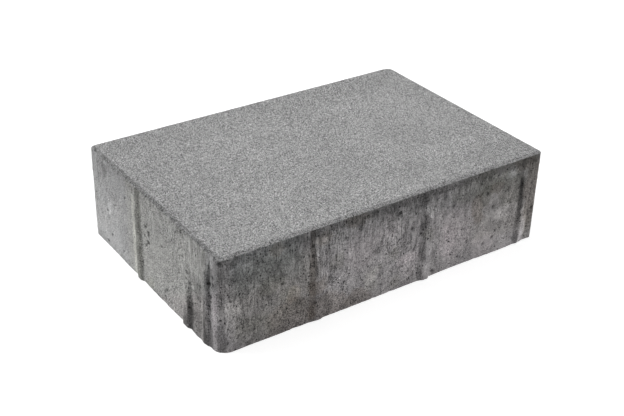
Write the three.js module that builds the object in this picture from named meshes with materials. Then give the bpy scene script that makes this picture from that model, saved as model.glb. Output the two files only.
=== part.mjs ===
// A rectangular concrete paving stone of the 30 x 20 x 8 cm format.
// One cast solid: a block with rounded upright corners, a narrow bevel round its wearing face,
// and low spacer ribs on all four sides that keep the joint to the next stone open.
// The solid is lofted through a stack of level outlines, and each outline carries the ribs.
// Millimetres, +Z up, origin on the underside, in the middle of the block.

import * as THREE from "three";

// The block, face to face, without its ribs.
const BODY_LENGTH = 298;
const BODY_WIDTH = 198;
const HEIGHT = 80;

// Upright corners. The back right one is rounder, and the front left one is rubbed off further
// towards its foot.
const CORNER_RADIUS = 4;
const BACK_RIGHT_RADIUS = 8;
const WORN_FOOT_RADIUS = 11;
const WORN_HEIGHT = 30;

// The bevel round the wearing face.
const BEVEL_WIDTH = 2.6;
const BEVEL_DEPTH = 1.7;

// Spacer ribs. Going round the stone anticlockwise, the flank that comes first is the long one.
// A rib stands on the floor, and runs out into the wall below the wearing face.
const RIB_PROUD = 2;
const RIB_CREST = 2.4;
const RIB_FIRST_FLANK = 7.2;
const RIB_SECOND_FLANK = 4.4;
const RIB_BELOW_FACE = 12;
const RIB_RUN_OUT = 14;
const RIB_PITCH = 100;

// From the crest of each side's last rib to the end of that side, again going anticlockwise.
const LONG_SIDE_LAST_RIB = 15;
const SHORT_SIDE_LAST_RIB = 17;

// The low stub of a rib on the left side, between the corner rib and the next.
const STUB_PROUD = 2;
const STUB_HEIGHT = 40;
const STUB_RUN_OUT = 18;
const STUB_FROM_END = 44.5;

// From the block's sides to the one big face in the middle of each end.
const PANEL_MARGIN = 14;

// How finely curves are stepped, and the least gap and rounding that the outline keeps.
const CORNER_STEPS = 8;
const FLANK_STEPS = 5;
const RUN_OUT_STEPS = 5;
const LEAST_GAP = 0.05;
const LEAST_ROUNDING = 0.3;

const QUARTER_TURN = Math.PI / 2;
const clampShare = (value) => THREE.MathUtils.clamp(value, 0, 1);
const smoothStep = (share) => share * share * (3 - 2 * share);
const shares = (steps) => Array.from({ length: steps + 1 }, (_, step) => step / steps);

// Sorts values and drops those that all but repeat the one before.
function spaced(values) {
  const kept = [];
  for (const value of values.sort((a, b) => a - b)) {
    if (kept.length === 0 || value - kept.at(-1) > LEAST_GAP) kept.push(value);
  }
  return kept;
}

// The ribs of a side, each with its crest's place along the side, going anticlockwise.
function fullRibs(length, lastRib) {
  const firstPlace = Math.max(CORNER_RADIUS, BACK_RIGHT_RADIUS) + RIB_FIRST_FLANK + RIB_CREST / 2;
  const top = HEIGHT - RIB_BELOW_FACE;
  const ribs = [];
  for (let place = length - lastRib; place > firstPlace; place -= RIB_PITCH) {
    ribs.push({ place, proud: RIB_PROUD, top, runOut: RIB_RUN_OUT });
  }
  return ribs;
}

const stub = {
  place: BODY_WIDTH - STUB_FROM_END,
  proud: STUB_PROUD,
  top: STUB_HEIGHT,
  runOut: STUB_RUN_OUT,
};

// How far a rib stands out of its wall. Both flanks are S-curves, and so is the run-out.
function rise({ place, proud, top, runOut }, along, z) {
  const flank = along < place ? RIB_FIRST_FLANK : RIB_SECOND_FLANK;
  const downFlank = clampShare((Math.abs(along - place) - RIB_CREST / 2) / flank);
  const upRunOut = clampShare((z - top + runOut) / runOut);
  return Math.max(0, proud * (1 - smoothStep(downFlank) - smoothStep(upRunOut)));
}

// Where the outline needs a point for a rib, along its side.
function ribPlaces({ place }) {
  const crestStart = place - RIB_CREST / 2;
  const crestEnd = place + RIB_CREST / 2;
  return shares(FLANK_STEPS).flatMap((share) => [
    crestStart - share * RIB_FIRST_FLANK,
    crestEnd + share * RIB_SECOND_FLANK,
  ]);
}

// Where the loft needs a level for a rib.
const ribLevels = ({ top, runOut }) => shares(RUN_OUT_STEPS).map((share) => top - share * runOut);

// A side runs along its own x axis with its face towards -y, and is then turned into place.
// The corner at its end is rounded by a radius that may change with the height.
const longSideRoom = LONG_SIDE_LAST_RIB - RIB_CREST / 2 - RIB_SECOND_FLANK;
const shortSideRoom = SHORT_SIDE_LAST_RIB - RIB_CREST / 2 - RIB_SECOND_FLANK;
const evenRadius = () => Math.min(CORNER_RADIUS, longSideRoom, shortSideRoom);
const roundRadius = () => Math.min(BACK_RIGHT_RADIUS, shortSideRoom);
function wornRadius(z) {
  const footRadius = Math.min(WORN_FOOT_RADIUS, shortSideRoom);
  return THREE.MathUtils.lerp(footRadius, evenRadius(), clampShare(z / WORN_HEIGHT));
}

function makeSide(turn, length, distance, ribs, radiusAt) {
  return { turn, length, distance, ribs, radiusAt, places: spaced(ribs.flatMap(ribPlaces)) };
}

const longRibs = fullRibs(BODY_LENGTH, LONG_SIDE_LAST_RIB);
const shortRibs = fullRibs(BODY_WIDTH, SHORT_SIDE_LAST_RIB);
const sides = [
  makeSide(0, BODY_LENGTH, BODY_WIDTH / 2, longRibs, evenRadius),
  makeSide(1, BODY_WIDTH, BODY_LENGTH / 2, shortRibs, roundRadius),
  makeSide(2, BODY_LENGTH, BODY_WIDTH / 2, longRibs, evenRadius),
  makeSide(3, BODY_WIDTH, BODY_LENGTH / 2, [...shortRibs, stub], wornRadius),
];

// The stone's outline at one height, anticlockwise seen from above.
function outlineAt(z) {
  const inset = BEVEL_WIDTH * clampShare((z - HEIGHT + BEVEL_DEPTH) / BEVEL_DEPTH);
  return sides.flatMap(({ turn, length, distance, ribs, radiusAt, places }) => {
    const wall = places.map((along) => {
      const proud = Math.max(...ribs.map((rib) => rise(rib, along, z)));
      return new THREE.Vector2(along - length / 2, inset - distance - proud);
    });
    const radius = Math.max(radiusAt(z) - inset, LEAST_ROUNDING);
    const centreX = length / 2 - inset - radius;
    const centreY = inset + radius - distance;
    const corner = shares(CORNER_STEPS).map((share) => {
      const angle = (share - 1) * QUARTER_TURN;
      return new THREE.Vector2(centreX + radius * Math.cos(angle), centreY + radius * Math.sin(angle));
    });
    const middle = new THREE.Vector2(0, 0);
    return [...wall, ...corner].map((point) => point.rotateAround(middle, turn * QUARTER_TURN));
  });
}

// Each end is closed by one rectangle, the panel, and a rim of triangles from it to the outline.
// A point of the outline belongs to the panel's corner in its own quarter of the stone.
const panelCorners = [
  [1, 1],
  [-1, 1],
  [-1, -1],
  [1, -1],
].map(([x, y]) => [x * (BODY_LENGTH / 2 - PANEL_MARGIN), y * (BODY_WIDTH / 2 - PANEL_MARGIN)]);

function cornerOf({ x, y }) {
  if (y >= 0) return x >= 0 ? 0 : 1;
  return x < 0 ? 2 : 3;
}

// The triangles of an end that faces up, as indices of the outline's points and the panel's corners.
function endFaces(outline, outlineStart, panelStart) {
  const faces = [
    [panelStart, panelStart + 1, panelStart + 2],
    [panelStart, panelStart + 2, panelStart + 3],
  ];
  outline.forEach((point, i) => {
    const next = (i + 1) % outline.length;
    const corner = panelStart + cornerOf(point);
    const nextCorner = panelStart + cornerOf(outline[next]);
    faces.push([outlineStart + i, outlineStart + next, corner]);
    if (nextCorner !== corner) faces.push([corner, outlineStart + next, nextCorner]);
  });
  return faces;
}

// Skins the levels from the lowest to the highest, and closes both ends.
function loft(levels) {
  const outlines = levels.map(outlineAt);
  const count = outlines[0].length;
  const topStart = count * (levels.length - 1);
  const undersidePanel = topStart + count;
  const topPanel = undersidePanel + panelCorners.length;
  const vertices = outlines.flatMap((outline, level) => outline.map(({ x, y }) => [x, y, levels[level]]));
  vertices.push(...panelCorners.map(([x, y]) => [x, y, levels[0]]));
  vertices.push(...panelCorners.map(([x, y]) => [x, y, levels.at(-1)]));
  const faces = [];
  for (let start = 0; start < topStart; start += count) {
    for (let i = 0; i < count; i += 1) {
      const next = (i + 1) % count;
      faces.push([start + i, start + next, start + count + next]);
      faces.push([start + i, start + count + next, start + count + i]);
    }
  }
  faces.push(...endFaces(outlines[0], 0, undersidePanel).map((face) => face.reverse()));
  faces.push(...endFaces(outlines.at(-1), topStart, topPanel));
  const skin = new THREE.BufferGeometry();
  skin.setAttribute("position", new THREE.Float32BufferAttribute(vertices.flat(), 3));
  skin.setIndex(faces.flat());
  const faceted = skin.toNonIndexed();
  faceted.computeVertexNormals();
  return faceted;
}

const levels = spaced([
  0,
  WORN_HEIGHT,
  ...sides.flatMap(({ ribs }) => ribs.flatMap(ribLevels)),
  HEIGHT - BEVEL_DEPTH,
  HEIGHT,
]);

const concrete = new THREE.MeshStandardMaterial({ color: 0x93938f, roughness: 0.92, metalness: 0 });

const pavingStone = new THREE.Mesh(loft(levels), concrete);
pavingStone.name = "paving_stone";

const part = new THREE.Group();
part.add(pavingStone);

export default part;
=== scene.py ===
"""A concrete paving stone, 30 x 20 x 8 cm, on a white floor.

The stone's skin is one closed, dense mesh. It is worked out in millimetres from the same sizes
as the CAD solid and roughened point by point. Each point also carries a colour, for the stains
that belong to a place on the stone and for painted shade and light: darker pits, darker and
lighter bands along the ribs and the stub, and lighter patches low on the left side for light
thrown up from the floor. Finer grain and pores are in the material, the pores painted dark as
shade.
"""

import math

import bpy
import numpy as np
from mathutils import Matrix, Vector


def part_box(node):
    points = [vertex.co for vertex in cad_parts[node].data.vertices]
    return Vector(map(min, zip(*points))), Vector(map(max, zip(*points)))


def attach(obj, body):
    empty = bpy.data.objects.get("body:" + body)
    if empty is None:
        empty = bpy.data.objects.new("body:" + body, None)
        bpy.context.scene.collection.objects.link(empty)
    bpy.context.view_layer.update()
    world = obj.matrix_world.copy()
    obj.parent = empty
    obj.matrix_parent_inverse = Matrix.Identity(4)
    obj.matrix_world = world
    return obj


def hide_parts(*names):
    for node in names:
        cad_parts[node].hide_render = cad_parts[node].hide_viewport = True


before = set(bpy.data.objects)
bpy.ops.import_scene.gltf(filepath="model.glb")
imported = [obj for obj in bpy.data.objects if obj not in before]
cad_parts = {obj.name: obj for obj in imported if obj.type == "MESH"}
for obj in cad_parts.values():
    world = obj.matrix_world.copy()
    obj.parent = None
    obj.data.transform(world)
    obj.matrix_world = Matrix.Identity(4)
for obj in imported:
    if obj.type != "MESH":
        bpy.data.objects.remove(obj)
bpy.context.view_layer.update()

MM = 0.001
NODE = "paving_stone"

# ---------------------------------------------------------------- sizes of the stone, in mm

RIB_PROUD = 2.0
node_low, node_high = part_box(NODE)
LENGTH = (node_high.x - node_low.x) / MM - 2 * RIB_PROUD
WIDTH = (node_high.y - node_low.y) / MM - 2 * RIB_PROUD
HEIGHT = (node_high.z - node_low.z) / MM

CORNER_RADIUS = 4.0
BACK_RIGHT_RADIUS = 8.0
WORN_FOOT_RADIUS = 11.0
WORN_HEIGHT = 30.0
BEVEL_WIDTH = 2.6
BEVEL_DEPTH = 1.7
ARRIS_ROUNDING = 0.3
FOOT_ROUNDING = 0.3
# What is further in than this is no longer part of the upright wall.
WALL_INSET = 0.2

RIB_CREST = 2.4
RIB_FIRST_FLANK = 7.2
RIB_SECOND_FLANK = 4.4
RIB_TOP = HEIGHT - 12.0
RIB_RUN_OUT = 14.0
RIB_PITCH = 100.0
STUB_PROUD = 2.0
STUB_HEIGHT = 40.0
STUB_RUN_OUT = 18.0
STUB_FROM_END = 44.5

FRONT, RIGHT, BACK, LEFT = range(4)
TOP, UNDERSIDE = -1, -2
# For each side: its length, how far it is from the middle, and its last rib from its end.
SIDE_LENGTH = [LENGTH, WIDTH, LENGTH, WIDTH]
SIDE_DISTANCE = [WIDTH / 2, LENGTH / 2, WIDTH / 2, LENGTH / 2]
LAST_RIB = [15.0, 17.0, 15.0, 17.0]

# ---------------------------------------------------------------- fineness of the mesh

# How long a face of a side is, in mm, and how many of them a face of the top and of the
# underside takes up each way.
MESH_STEP = 1.06
TOP_COARSENESS = 2
UNDERSIDE_COARSENESS = 6
# How many faces half a corner has, and the share of a corner that goes with the side before it.
CORNER_HALF_STEPS = 4
CORNER_SHARE = 0.3
# The rows of the bevel: how far in each is, and how far it dips below the straight slope.
BEVEL_ROWS = [(0.05, 0.10), (0.3, 0.0), (0.9, 0.0), (1.6, 0.0), (2.35, 0.0), (2.6, 0.05)]
# How far in from the bevel the first row of the top lies.
TOP_RIM = 0.35


# ---------------------------------------------------------------- noise


def hashed(cells, seed):
    """A repeatable number from -1 to 1 for each row of whole-number cells."""
    mixed = cells.astype(np.int64).astype(np.uint32)
    value = np.full(len(cells), (seed * 2654435761 + 97) % 2**32, np.uint32)
    for axis, prime in enumerate((2246822519, 3266489917, 668265263)):
        value ^= mixed[:, axis] * np.uint32(prime)
        value ^= value >> np.uint32(15)
        value *= np.uint32(2246822507)
        value ^= value >> np.uint32(13)
    return value.astype(np.float64) / (2**31 - 0.5) - 1.0


def noise(points, size, seed):
    """Smooth noise from -1 to 1 with lumps of that size, one number or one for each axis."""
    scaled = points / np.asarray(size, float)
    cell = np.floor(scaled)
    part = scaled - cell
    part = part * part * (3 - 2 * part)
    total = np.zeros(len(points))
    for corner in np.ndindex(2, 2, 2):
        offset = np.array(corner)
        weight = np.prod(np.where(offset == 1, part, 1 - part), axis=1)
        total += weight * hashed(cell + offset, seed)
    return total


def layered(points, layers):
    """The sum of several noises, each given as its strength, size and seed."""
    return sum(strength * noise(points, size, seed) for strength, size, seed in layers)


def smooth_step(value):
    """0 up to 0 and 1 from 1 on, with a smooth rise between them."""
    share = np.clip(value, 0, 1)
    return share * share * (3 - 2 * share)


# ---------------------------------------------------------------- the plain skin


class Skin:
    """The points of the stone's surface, and the faces between them. Each point has its place,
    outward normal, side, place along that side and inset from the upright wall."""

    def __init__(self):
        self.parts = {"place": [], "normal": [], "side": [], "along": [], "inset": []}
        self.faces = []
        self.count = 0

    def add(self, place, normal, side, along, inset):
        """Adds some points, and gives their numbers."""
        for name, values in zip(self.parts, (place, normal, side, along, inset)):
            shape = (len(place), 3) if name in ("place", "normal") else (len(place),)
            self.parts[name].append(np.broadcast_to(values, shape))
        self.count += len(place)
        return np.arange(self.count - len(place), self.count)

    def join(self):
        """Joins what was added, and sorts out where each point is."""
        for name, values in self.parts.items():
            setattr(self, name, np.concatenate(values))
        self.z = self.place[:, 2]
        self.on_side = self.side >= 0
        self.on_wall = self.on_side & (self.inset < WALL_INSET)
        self.on_bevel = self.on_side & (self.inset > WALL_INSET) & (self.z > HEIGHT / 2)


def side_profile():
    """(inset, height) up a side, from the underside's rim over the bevel to the top."""
    foot = [
        (FOOT_ROUNDING * (1 - math.sin(angle)), FOOT_ROUNDING * (1 - math.cos(angle)))
        for angle in (0, math.radians(35), math.radians(70))
    ]
    wall_top = HEIGHT - BEVEL_DEPTH - ARRIS_ROUNDING
    wall_rows = round((wall_top - FOOT_ROUNDING) / MESH_STEP)
    wall = [(0.0, z) for z in np.linspace(FOOT_ROUNDING, wall_top, wall_rows + 1)]
    slope = BEVEL_DEPTH / BEVEL_WIDTH
    bevel = [(inset, HEIGHT - BEVEL_DEPTH + inset * slope - dip) for inset, dip in BEVEL_ROWS]
    return foot + wall + bevel + [(BEVEL_WIDTH + TOP_RIM, HEIGHT)]


def straight_places(length):
    """The places of the points along the straight stretch of a side."""
    steps = round((length - 2 * CORNER_RADIUS) / MESH_STEP)
    return np.linspace(CORNER_RADIUS, length - CORNER_RADIUS, steps + 1)


def perimeter(inset):
    """The outline at an inset, anticlockwise from the start of the front side: its points,
    outward directions, sides and places along them. A corner is shared by its two sides."""
    points, outward, sides, places = [], [], [], []
    for side in range(4):
        turn = side * math.pi / 2
        rotation = np.array([[math.cos(turn), -math.sin(turn)], [math.sin(turn), math.cos(turn)]])
        length, distance = SIDE_LENGTH[side], SIDE_DISTANCE[side]
        straight = straight_places(length)
        wall = np.stack([straight - length / 2, np.full(len(straight), inset - distance)], 1)
        facing = np.tile([0.0, -1.0], (len(straight), 1))
        share = np.arange(1, 2 * CORNER_HALF_STEPS) / (2 * CORNER_HALF_STEPS)
        angle = (share - 1) * math.pi / 2
        arc = np.stack([np.cos(angle), np.sin(angle)], 1)
        centre = np.array([length / 2 - CORNER_RADIUS, CORNER_RADIUS - distance])
        before = share < CORNER_SHARE
        arc_length = CORNER_RADIUS * math.pi / 2
        arc_places = np.where(
            before, length - CORNER_RADIUS + share * arc_length, CORNER_RADIUS - (1 - share) * arc_length
        )
        arc_sides = np.where(before, side, (side + 1) % 4)
        points.append(np.concatenate([wall, centre + arc * (CORNER_RADIUS - inset)]) @ rotation.T)
        outward.append(np.concatenate([facing, arc]) @ rotation.T)
        sides.append(np.concatenate([np.full(len(wall), side), arc_sides]))
        places.append(np.concatenate([straight, arc_places]))
    return tuple(np.concatenate(part) for part in (points, outward, sides, places))


def cap_grid(inset):
    """x and y of a grid over the whole outline, whose rim is the perimeter at that inset."""
    share = np.tan(np.arange(1, CORNER_HALF_STEPS + 1) / CORNER_HALF_STEPS * math.pi / 4)
    radius = CORNER_RADIUS - inset
    lines = []
    for length in (LENGTH, WIDTH):
        reach = length / 2 - CORNER_RADIUS
        straight = straight_places(length) - length / 2
        over = reach + radius * share
        lines.append(np.concatenate([-over[::-1], straight, over]))
    x, y = np.meshgrid(*lines, indexing="ij")
    reach_x, reach_y = LENGTH / 2 - CORNER_RADIUS, WIDTH / 2 - CORNER_RADIUS
    over_x = np.maximum(np.abs(x) - reach_x, 0) / radius
    over_y = np.maximum(np.abs(y) - reach_y, 0) / radius
    distance = np.hypot(over_x, over_y)
    shrink = np.where(distance > 0, np.maximum(over_x, over_y) / np.maximum(distance, 1e-9), 1)
    x = np.sign(x) * (np.minimum(np.abs(x), reach_x) + over_x * shrink * radius)
    y = np.sign(y) * (np.minimum(np.abs(y), reach_y) + over_y * shrink * radius)
    return x, y


def rim_of(grid):
    """The rim of a grid, anticlockwise, in the order of perimeter()."""
    loop = np.concatenate([grid[:-1, 0], grid[-1, :-1], grid[:0:-1, -1], grid[0, :0:-1]])
    return np.roll(loop, -CORNER_HALF_STEPS)


def add_cap(skin, side, ring, inset, z, coarseness):
    """Closes a ring with a coarse grid, joined to the fine ring by faces of many corners."""
    x, y = cap_grid(inset)
    rows, columns = x.shape
    grid = np.full(x.shape, -1)
    grid.ravel()[rim_of(np.arange(x.size).reshape(x.shape))] = ring
    picked = [np.arange(coarseness, size - coarseness, coarseness) for size in x.shape]
    chosen = np.ix_(*picked)
    place = np.stack([x[chosen].ravel(), y[chosen].ravel(), np.full(x[chosen].size, z)], 1)
    facing = 1.0 if side == TOP else -1.0
    added = skin.add(place, (0.0, 0.0, facing), side, 0.0, inset)
    grid[chosen] = added.reshape(x[chosen].shape)
    row_cuts = [0, *picked[0], rows - 1]
    column_cuts = [0, *picked[1], columns - 1]
    for r0, r1 in zip(row_cuts, row_cuts[1:]):
        for c0, c1 in zip(column_cuts, column_cuts[1:]):
            walk = [(r, c0) for r in range(r0, r1)] + [(r1, c) for c in range(c0, c1)]
            walk += [(r, c1) for r in range(r1, r0, -1)] + [(r0, c) for c in range(c1, c0, -1)]
            corners = [int(grid[spot]) for spot in walk if grid[spot] >= 0]
            skin.faces.append(corners if side == TOP else corners[::-1])


def build_skin():
    """The plain stone: rings of points up the sides, closed by the top and the underside."""
    skin = Skin()
    profile = side_profile()
    rings = []
    for row, (inset, z) in enumerate(profile):
        points, outward, sides, places = perimeter(inset)
        inset_before, z_before = profile[max(row - 1, 0)]
        inset_after, z_after = profile[min(row + 1, len(profile) - 1)]
        tilt = math.atan2(inset_after - inset_before, z_after - z_before)
        flat = outward * math.cos(tilt)
        normal = np.column_stack([flat, np.full(len(points), math.sin(tilt))])
        place = np.column_stack([points, np.full(len(points), z)])
        rings.append(skin.add(place, normal, sides, places, inset))
    for lower, upper in zip(rings, rings[1:]):
        quads = np.stack([lower, np.roll(lower, -1), np.roll(upper, -1), upper], 1)
        skin.faces += quads.tolist()
    add_cap(skin, UNDERSIDE, rings[0], *profile[0], UNDERSIDE_COARSENESS)
    add_cap(skin, TOP, rings[-1], *profile[-1], TOP_COARSENESS)
    skin.join()
    return skin


# ---------------------------------------------------------------- ribs and relief


def rib_rise(along, z, place, proud, top, run_out):
    """How far a rib at that place stands out of the wall."""
    flank = np.where(along < place, RIB_FIRST_FLANK, RIB_SECOND_FLANK)
    down_flank = smooth_step((np.abs(along - place) - RIB_CREST / 2) / flank)
    up_run_out = smooth_step((z - top + run_out) / run_out)
    return np.maximum(0, proud * (1 - down_flank - up_run_out))


def rib_places(side):
    """The ribs' places along a side, from its far end back, one pitch apart."""
    length = SIDE_LENGTH[side]
    count = int((length - LAST_RIB[side] - CORNER_RADIUS - RIB_FIRST_FLANK) // RIB_PITCH) + 1
    return [length - LAST_RIB[side] - RIB_PITCH * number for number in range(count)]


def ribs_rise(side, along, z):
    """How far all the ribs of a side stand out of the wall, and on the left the stub as well."""
    total = np.zeros_like(along)
    for place in rib_places(side):
        total = np.maximum(total, rib_rise(along, z, place, RIB_PROUD, RIB_TOP, RIB_RUN_OUT))
    if side == LEFT:
        place = WIDTH - STUB_FROM_END
        stub = rib_rise(along, z, place, STUB_PROUD, STUB_HEIGHT, STUB_RUN_OUT)
        total = np.maximum(total, stub)
    return total


def rib_wobble(place):
    """How far the ribs stray sideways, in mm."""
    return 0.5 * noise(place, (60, 60, 11), 31)


# Pits that can be told apart: side, place along it, height, radius, depth.
PITS = [
    (LEFT, 92.2, 51.8, 1.5, 1.3),
    (LEFT, 96.2, 48.2, 1.8, 1.6),
    (LEFT, 89.8, 43.2, 1.3, 1.0),
    (LEFT, 95.6, 39.8, 1.9, 1.6),
    (LEFT, 91.8, 35.6, 1.4, 1.2),
    (LEFT, 146.4, 76.0, 1.6, 1.2),
    (LEFT, 26.4, 34.0, 1.4, 1.0),
    (LEFT, 24.0, 4.2, 1.6, 0.9),
    (LEFT, 122.0, 12.4, 1.6, 1.0),
    (LEFT, 118.6, 9.8, 1.3, 0.8),
    (LEFT, 116.6, 47.8, 1.4, 0.9),
    (LEFT, 154.4, 46.0, 1.4, 1.0),
    (LEFT, 158.0, 38.6, 1.4, 1.0),
    (LEFT, 155.0, 52.4, 1.2, 0.8),
    (LEFT, 151.6, 39.8, 1.3, 0.8),
    (LEFT, 185.4, 54.6, 1.9, 1.5),
    (LEFT, 186.8, 44.6, 1.4, 1.0),
    (LEFT, 189.4, 61.4, 1.5, 1.1),
    (LEFT, 190.4, 55.8, 1.3, 1.0),
    (LEFT, 184.8, 67.6, 1.4, 1.0),
    (LEFT, 180.8, 36.8, 1.3, 0.9),
    (LEFT, 178.2, 27.4, 1.3, 0.8),
    (FRONT, 1.2, 76.2, 1.4, 1.0),
    (FRONT, 9.0, 43.6, 1.2, 0.9),
    (FRONT, 51.5, 42.5, 1.6, 1.0),
    (FRONT, 34.5, 29.6, 1.1, 0.8),
    (FRONT, 14.0, 19.8, 1.0, 0.7),
    (FRONT, 76.8, 65.2, 1.6, 1.2),
    (FRONT, 77.2, 57.5, 1.2, 0.9),
    (FRONT, 105.4, 62.2, 1.5, 0.9),
    (FRONT, 154.4, 67.4, 1.7, 1.1),
    (FRONT, 167.2, 50.0, 1.2, 0.9),
    (FRONT, 190.8, 4.2, 1.6, 1.0),
    (FRONT, 192.2, 2.2, 1.4, 0.9),
    (FRONT, 207.4, 57.0, 1.6, 1.1),
    (FRONT, 224.6, 20.4, 1.3, 0.9),
    (FRONT, 251.8, 15.0, 1.5, 0.9),
    (FRONT, 242.4, 57.0, 1.8, 1.0),
    (FRONT, 249.2, 43.6, 1.6, 1.0),
    (FRONT, 265.2, 43.6, 1.2, 0.8),
    (FRONT, 293.4, 29.5, 1.9, 1.0),
]
# How many small pits each side has at random, over its height and along its arris.
SCATTERED_PITS = [(FRONT, 70), (RIGHT, 50), (BACK, 70), (LEFT, 40)]
PITS_ALONG_ARRIS = [(LEFT, 56), (RIGHT, 40), (BACK, 24), (FRONT, 6)]
# Where a pit ends, in radii, and how steep it is.
PIT_REACH = 1.3
PIT_STEEPNESS = 1.3


def all_pits():
    """The listed pits and the small ones placed at random."""
    rng = np.random.default_rng(12)
    pits = list(PITS)
    for side, count in SCATTERED_PITS:
        for _ in range(count):
            along = rng.uniform(10, SIDE_LENGTH[side] - 10)
            radius = 0.7 + 0.8 * rng.random() ** 3
            pits.append((side, along, rng.uniform(3, 74), radius, 0.45 * radius))
    for side, count in PITS_ALONG_ARRIS:
        for _ in range(count):
            along = rng.uniform(4, SIDE_LENGTH[side] - 4)
            height = HEIGHT - BEVEL_DEPTH + 0.5 - 2.4 * rng.random() ** 2
            pits.append((side, along, height, rng.uniform(0.6, 1.1), 0.5))
    return pits


def pit_shapes(skin):
    """How deep each point lies in a pit, in mm."""
    depth = np.zeros(len(skin.z))
    for side, along, height, radius, deepest in all_pits():
        reach = PIT_REACH * radius
        near = np.flatnonzero((skin.side == side) & (np.abs(skin.along - along) < reach))
        distance = np.hypot(skin.along[near] - along, skin.z[near] - height) / reach
        hollow = deepest * smooth_step(PIT_STEEPNESS * (1 - distance))
        depth[near] = np.maximum(depth[near], hollow)
    return depth


def round_off(place, inset, corner, radius):
    """Gives one corner a bigger radius, by drawing in the points that stand outside it."""
    corner = np.asarray(corner, float)
    from_corner = corner * (place[:, :2] - corner * (LENGTH / 2, WIDTH / 2))
    out_of = from_corner + radius[:, None]
    reach = np.maximum(out_of, 0)
    distance = np.hypot(reach[:, 0], reach[:, 1])
    over = np.maximum(distance - (radius - inset), 0)
    in_corner = (reach > 0).all(axis=1)
    pull = np.where(in_corner, over / np.maximum(distance, 1e-9), 0)
    place[:, :2] -= corner * reach * pull[:, None]


def round_off_corners(place, inset):
    """Rounds off the near corner, the more so the nearer its foot, and the back right one."""
    share = np.clip(place[:, 2] / WORN_HEIGHT, 0, 1)
    worn = WORN_FOOT_RADIUS + (CORNER_RADIUS - WORN_FOOT_RADIUS) * share
    round_off(place, inset, (-1, -1), worn)
    round_off(place, inset, (1, 1), np.full(len(place), BACK_RIGHT_RADIUS))


# Low swellings and hollows: side, place along it, height, half their size each way, rise.
SWELLINGS = [
    (LEFT, 58.0, 0.0, 26.0, 13.0, 0.4),
    (LEFT, 98.0, 0.0, 22.0, 13.0, 0.4),
    (LEFT, 122.0, 0.0, 42.0, 14.0, 0.7),
    (LEFT, 149.5, 0.0, 4.0, 12.0, 1.0),
    (LEFT, 167.0, 2.0, 13.0, 16.0, 1.1),
    (LEFT, 183.0, 0.0, 9.0, 22.0, -1.4),
    (LEFT, 198.0, 0.0, 11.0, 14.0, -0.7),
    (FRONT, 0.0, 0.0, 14.0, 14.0, -0.7),
    (FRONT, 24.0, 0.0, 38.0, 9.0, -2.1),
    (FRONT, 60.0, 0.0, 26.0, 8.0, -0.9),
    (FRONT, 84.0, 0.0, 8.0, 10.0, -1.0),
    (FRONT, 212.0, 0.0, 30.0, 8.0, -0.9),
    (FRONT, 264.0, 0.0, 24.0, 8.0, 0.5),
    (FRONT, 286.5, 0.0, 11.0, 11.0, -2.1),
]


def swelling(skin):
    """How far the wall swells out or is hollow, in mm."""
    rise = np.zeros(len(skin.z))
    for side, along, height, half_along, half_height, amount in SWELLINGS:
        here = np.flatnonzero(skin.side == side)
        across = (skin.along[here] - along) / half_along
        up = (skin.z[here] - height) / half_height
        rise[here] += amount * smooth_step(1 - np.hypot(across, up))
    return rise


# Noises: strength, in mm except for the ribs and the nibbles, lump size in mm, and seed.
RIB_UNEVENNESS = [(0.12, 7, 32)]
SIDE_RELIEF = [
    (0.15, (34, 34, 40), 33),
    (0.12, 8, 34),
    (0.14, 2.3, 35),
    (0.09, 1.3, 36),
    (0.09, (3.2, 3.2, 26), 37),
]
NIBBLES = [(1.0, (7, 7, 90), 38), (0.8, (2.6, 2.6, 90), 39)]
TOP_DIPS = [(0.03, 3.1, 40), (0.02, 9, 41)]
BEVEL_DIPS = [(0.05, 4, 42)]
# The top and the bevel lie this much under the CAD's, on average.
SUNK = 0.05

# How strongly the lower rim of each side is nibbled away, up to what height, how strong the
# noise has to be for it, and how far in and up it goes.
NIBBLED = [0.65, 1.0, 1.0, 0.4]
NIBBLED_HEIGHT = 2.6
NIBBLE_FROM = 0.6
NIBBLE_IN = 0.7
NIBBLE_UP = 0.5


def by_side(skin, values):
    """One of four values for the points of each side, and 0 for the top and the underside."""
    return np.select([skin.side == side for side in range(4)], values, 0.0)


def roughened(skin):
    """The skin's points with the ribs and the relief, and how deep they lie in pits."""
    place = skin.place.copy()
    round_off_corners(place, skin.inset)
    wobble = rib_wobble(skin.place)
    outward = np.zeros(len(place))
    for side in range(4):
        here = skin.side == side
        outward[here] = ribs_rise(side, skin.along[here] + wobble[here], skin.z[here])
    outward *= 1 + layered(skin.place, RIB_UNEVENNESS)
    outward += swelling(skin)
    pit = pit_shapes(skin)
    wall = smooth_step((HEIGHT - BEVEL_DEPTH + 0.2 - skin.z) / 1.2)
    outward += np.where(skin.on_side, layered(skin.place, SIDE_RELIEF) * wall - pit, 0)
    place[:, :2] += skin.normal[:, :2] * outward[:, None]

    low = smooth_step((NIBBLED_HEIGHT - skin.z) / NIBBLED_HEIGHT) * skin.on_side
    nibble = np.maximum(layered(skin.place, NIBBLES) - NIBBLE_FROM, 0)
    nibble *= low * by_side(skin, NIBBLED)
    place[:, :2] -= skin.normal[:, :2] * (NIBBLE_IN * nibble)[:, None]
    place[:, 2] += NIBBLE_UP * nibble

    top = skin.side == TOP
    place[top, 2] -= (SUNK + layered(skin.place, TOP_DIPS))[top]
    high = (skin.z > HEIGHT - BEVEL_DEPTH - 0.1) & skin.on_side
    place[high, 2] -= (SUNK + layered(skin.place, BEVEL_DIPS))[high]

    half_length = LENGTH / 2 + RIB_PROUD
    half_width = WIDTH / 2 + RIB_PROUD
    place = np.clip(place, (-half_length, -half_width, 0), (half_length, half_width, HEIGHT))
    return place, pit


# ---------------------------------------------------------------- colour by place

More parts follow.
